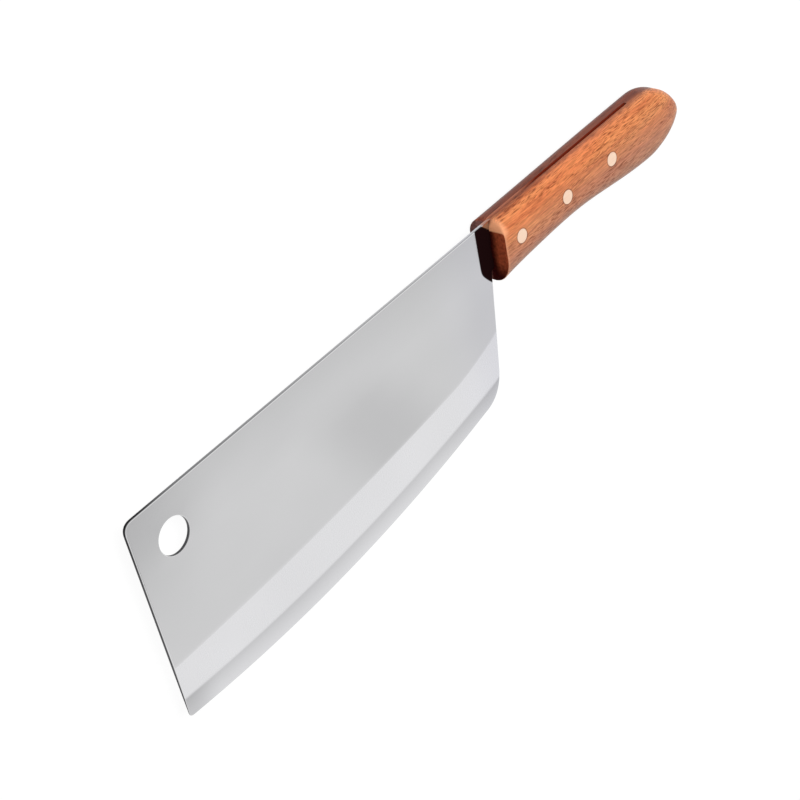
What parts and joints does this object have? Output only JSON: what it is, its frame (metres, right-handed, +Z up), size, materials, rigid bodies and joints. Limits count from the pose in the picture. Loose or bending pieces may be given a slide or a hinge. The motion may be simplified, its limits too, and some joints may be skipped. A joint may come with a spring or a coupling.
{
  "type": "cleaver",
  "caption": "Broad sheet-steel kitchen cleaver with a hang hole near the tip, a bowed ground edge and a slotted wooden handle held by flush rivets.",
  "frame": {"origin": "centre of the footprint of the cleaver lying on its side, on the surface that its handle rests on", "axes": "+X from the tip to the butt of the handle, +Y from the cutting edge to the spine, +Z up, out of the pictured side"},
  "size_m": [0.3196, 0.0894, 0.0172],
  "materials": {
    "blade_steel": "fine satin, nearly mirror-like at a low angle",
    "handle_wood": "smooth sanded and varnished, open pores",
    "rivet_aluminium": "ground flush, satin"
  },
  "bodies": {
    "root": {"blade": "blade_steel", "handle": "handle_wood", "front_rivet_post": "rivet_aluminium", "front_rivet_sleeve": "rivet_aluminium", "middle_rivet_post": "rivet_aluminium", "middle_rivet_sleeve": "rivet_aluminium", "rear_rivet_post": "rivet_aluminium", "rear_rivet_sleeve": "rivet_aluminium"}
  },
  "joints": []
}
